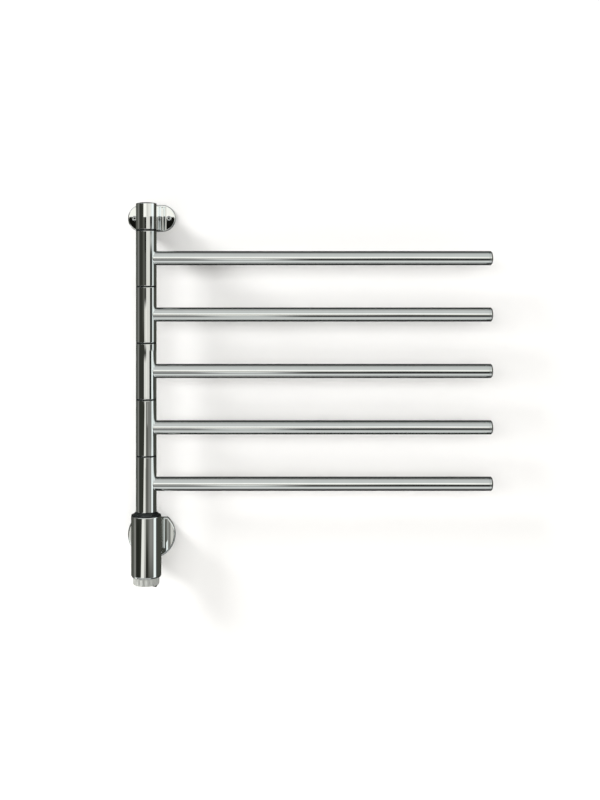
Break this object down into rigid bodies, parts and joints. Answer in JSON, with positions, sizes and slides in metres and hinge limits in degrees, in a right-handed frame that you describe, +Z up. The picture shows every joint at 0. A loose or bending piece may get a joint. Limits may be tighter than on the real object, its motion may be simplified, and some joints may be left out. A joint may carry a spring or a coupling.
{
  "type": "towel warmer rack",
  "caption": "Wall-hung electric towel warmer: heated tubular arms swivel one by one about a chrome post, with a switch housing at its foot.",
  "frame": {"origin": "centre of the upper wall plate's back face, on the wall plane", "axes": "+X along the arms at rest, +Y into the wall, +Z up the post"},
  "size_m": [0.557, 0.1045, 0.5765],
  "materials": {
    "polished_chrome": "mirror polished, faint drawing lines",
    "screw_steel": "bright turned head",
    "inner_steel": "plain machined",
    "black_nylon": "satin black nylon",
    "pale_bush": "natural nylon",
    "heater_sheath": "heat-darkened sheath",
    "cable_rubber": "matt",
    "terminal_ceramic": "matt moulded",
    "clear_collar": "clear grey fluted polycarbonate",
    "switch_black": "gloss black"
  },
  "bodies": {
    "frame": {"upper_wall_plate": "polished_chrome", "upper_bracket": "polished_chrome", "top_cap": "polished_chrome", "control_housing": "polished_chrome", "lower_wall_flange": "polished_chrome", "lower_bracket": "polished_chrome", "upper_screw_left": "screw_steel", "upper_screw_right": "screw_steel", "upper_grub_screw": "inner_steel", "lower_grub_screw": "inner_steel", "lower_screw_left": "inner_steel", "lower_screw_right": "inner_steel", "lower_mount_plate": "inner_steel", "spindle": "inner_steel", "spindle_lock_nut": "inner_steel", "rocker_pin": "inner_steel", "seam_washer_1": "black_nylon", "seam_washer_2": "black_nylon", "seam_washer_3": "black_nylon", "seam_washer_4": "black_nylon", "seam_washer_5": "black_nylon", "shoulder_collar": "black_nylon", "cable_grommet": "cable_rubber", "supply_lead": "cable_rubber", "heater_lead_loom": "cable_rubber", "terminal_block": "terminal_ceramic", "switch_collar": "clear_collar", "switch_body": "switch_black"},
    "arm_1": {"arm_1_hub": "polished_chrome", "arm_1_tube": "polished_chrome", "arm_1_end_cap": "polished_chrome", "arm_1_heater": "heater_sheath", "arm_1_upper_bush": "pale_bush", "arm_1_lower_bush": "pale_bush"},
    "arm_2": {"arm_2_hub": "polished_chrome", "arm_2_tube": "polished_chrome", "arm_2_end_cap": "polished_chrome", "arm_2_heater": "heater_sheath", "arm_2_upper_bush": "pale_bush", "arm_2_lower_bush": "pale_bush"},
    "arm_3": {"arm_3_hub": "polished_chrome", "arm_3_tube": "polished_chrome", "arm_3_end_cap": "polished_chrome", "arm_3_heater": "heater_sheath", "arm_3_upper_bush": "pale_bush", "arm_3_lower_bush": "pale_bush"},
    "arm_4": {"arm_4_hub": "polished_chrome", "arm_4_tube": "polished_chrome", "arm_4_end_cap": "polished_chrome", "arm_4_heater": "heater_sheath", "arm_4_upper_bush": "pale_bush", "arm_4_lower_bush": "pale_bush"},
    "arm_5": {"arm_5_hub": "polished_chrome", "arm_5_tube": "polished_chrome", "arm_5_end_cap": "polished_chrome", "arm_5_heater": "heater_sheath", "arm_5_upper_bush": "pale_bush", "arm_5_lower_bush": "pale_bush"},
    "rocker": {"rocker": "switch_black"}
  },
  "joints": [
    {"name": "arm_1_swivel", "type": "hinge", "parent": "frame", "child": "arm_1", "pos_m": [0, -0.082, -0.0619], "axis": [0, 0, 1], "range_deg": [-180, 0]},
    {"name": "arm_2_swivel", "type": "hinge", "parent": "frame", "child": "arm_2", "pos_m": [0, -0.082, -0.1465], "axis": [0, 0, 1], "range_deg": [-180, 0]},
    {"name": "arm_3_swivel", "type": "hinge", "parent": "frame", "child": "arm_3", "pos_m": [0, -0.082, -0.2311], "axis": [0, 0, 1], "range_deg": [-180, 0]},
    {"name": "arm_4_swivel", "type": "hinge", "parent": "frame", "child": "arm_4", "pos_m": [0, -0.082, -0.3157], "axis": [0, 0, 1], "range_deg": [-180, 0]},
    {"name": "arm_5_swivel", "type": "hinge", "parent": "frame", "child": "arm_5", "pos_m": [0, -0.082, -0.4003], "axis": [0, 0, 1], "range_deg": [-180, 0]},
    {"name": "rocker_switch", "type": "hinge", "parent": "frame", "child": "rocker", "pos_m": [0, -0.082, -0.5477], "axis": [0, 1, 0], "range_deg": [-10, 0]}
  ]
}
